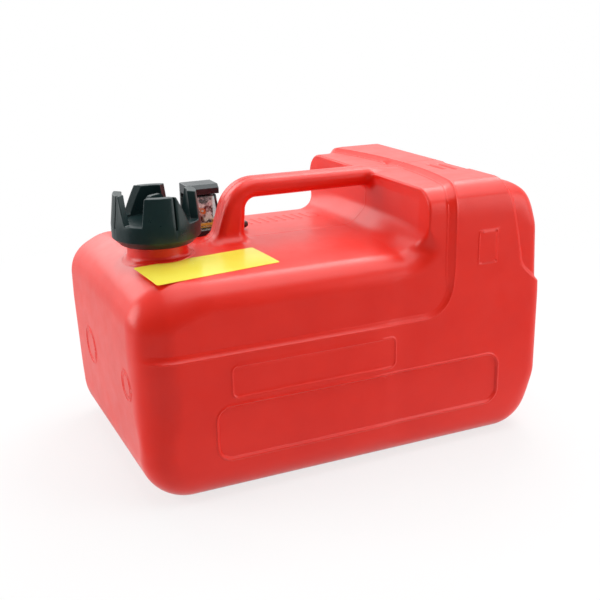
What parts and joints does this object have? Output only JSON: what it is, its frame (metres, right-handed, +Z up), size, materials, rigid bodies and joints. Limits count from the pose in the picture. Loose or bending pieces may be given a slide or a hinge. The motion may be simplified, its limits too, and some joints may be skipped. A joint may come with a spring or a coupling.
{
  "type": "portable outboard fuel tank",
  "caption": "Low blow-moulded portable fuel tank with a carrying handle, a raised hump, a vented screw cap, and a withdrawal unit with a float gauge and a hose barb.",
  "frame": {"origin": "middle of the tank's resting face, on the ground", "axes": "+X along the tank from the filler end to the raised hump, +Y across it towards the gauge side, +Z up"},
  "size_m": [0.38, 0.243, 0.241],
  "materials": {
    "tank_plastic": "satin moulded",
    "label_film": "gloss film",
    "cap_plastic": "semi-gloss",
    "knob_plastic": "semi-gloss",
    "unit_plastic": "semi-gloss",
    "seal_rubber": "matte",
    "amber_seal": "satin",
    "screw_steel": "satin",
    "pin_steel": "satin",
    "lens_plastic": "clear",
    "dial_plastic": "satin",
    "works_plastic": "satin",
    "pointer_plastic": "satin",
    "float_foam": "matte foam",
    "tube_plastic": "satin",
    "strainer_plastic": "satin",
    "barb_brass": "turned"
  },
  "bodies": {
    "tank": {"tank_shell": "tank_plastic", "warning_label": "label_film", "withdrawal_flange": "unit_plastic", "flange_gasket": "seal_rubber", "flange_screws": "screw_steel", "gauge_lens": "lens_plastic", "lens_seal": "amber_seal", "gauge_guard": "unit_plastic", "gauge_dial": "dial_plastic", "float_bracket": "works_plastic", "float_pin": "pin_steel", "pickup_tube": "tube_plastic", "pickup_strainer": "strainer_plastic", "hose_barb": "barb_brass", "barb_seal": "seal_rubber"},
    "cap_washer": {"cap_gasket": "seal_rubber"},
    "cap": {"cap_body": "cap_plastic"},
    "vent_washer": {"vent_seal": "seal_rubber"},
    "vent_screw": {"vent_knob": "knob_plastic"},
    "float_lever": {"float_arm": "works_plastic", "float": "float_foam"},
    "rack": {"gauge_rack": "works_plastic"},
    "gauge_hand": {"pointer": "pointer_plastic", "pointer_pinion": "works_plastic"}
  },
  "joints": [
    {"name": "cap_lift", "type": "slide", "parent": "tank", "child": "cap_washer", "axis": [0, 0, 1], "range_m": [0, 0.00905]},
    {"name": "cap_turn", "type": "hinge", "parent": "cap_washer", "child": "cap", "pos_m": [-0.139, -0.018, 0.2], "axis": [0, 0, 1], "range_deg": [0, 720]},
    {"name": "vent_lift", "type": "slide", "parent": "cap", "child": "vent_washer", "axis": [0, 0, 1], "range_m": [0, 0.0038]},
    {"name": "vent_turn", "type": "hinge", "parent": "vent_washer", "child": "vent_screw", "pos_m": [-0.139, -0.018, 0.22], "axis": [0, 0, 1], "range_deg": [0, 540]},
    {"name": "float_swing", "type": "hinge", "parent": "tank", "child": "float_lever", "pos_m": [-0.0597, 0.049, 0.0943], "axis": [0, -1, 0], "range_deg": [0, 84]},
    {"name": "rack_slide", "type": "slide", "parent": "tank", "child": "rack", "axis": [0, 0, -1], "range_m": [0, 0.0103]},
    {"name": "hand_turn", "type": "hinge", "parent": "tank", "child": "gauge_hand", "pos_m": [-0.077, 0.049, 0.2043], "axis": [0, 1, 0], "range_deg": [0, 98.2]}
  ],
  "couplings": [
    {"joint": "cap_lift", "follows": "cap_turn", "m_per_rad": 0.0007162},
    {"joint": "vent_lift", "follows": "vent_turn", "m_per_rad": 0.00039789},
    {"joint": "rack_slide", "follows": "float_swing", "m_per_rad": 0.007},
    {"joint": "hand_turn", "follows": "float_swing", "ratio": 1.1667}
  ]
}
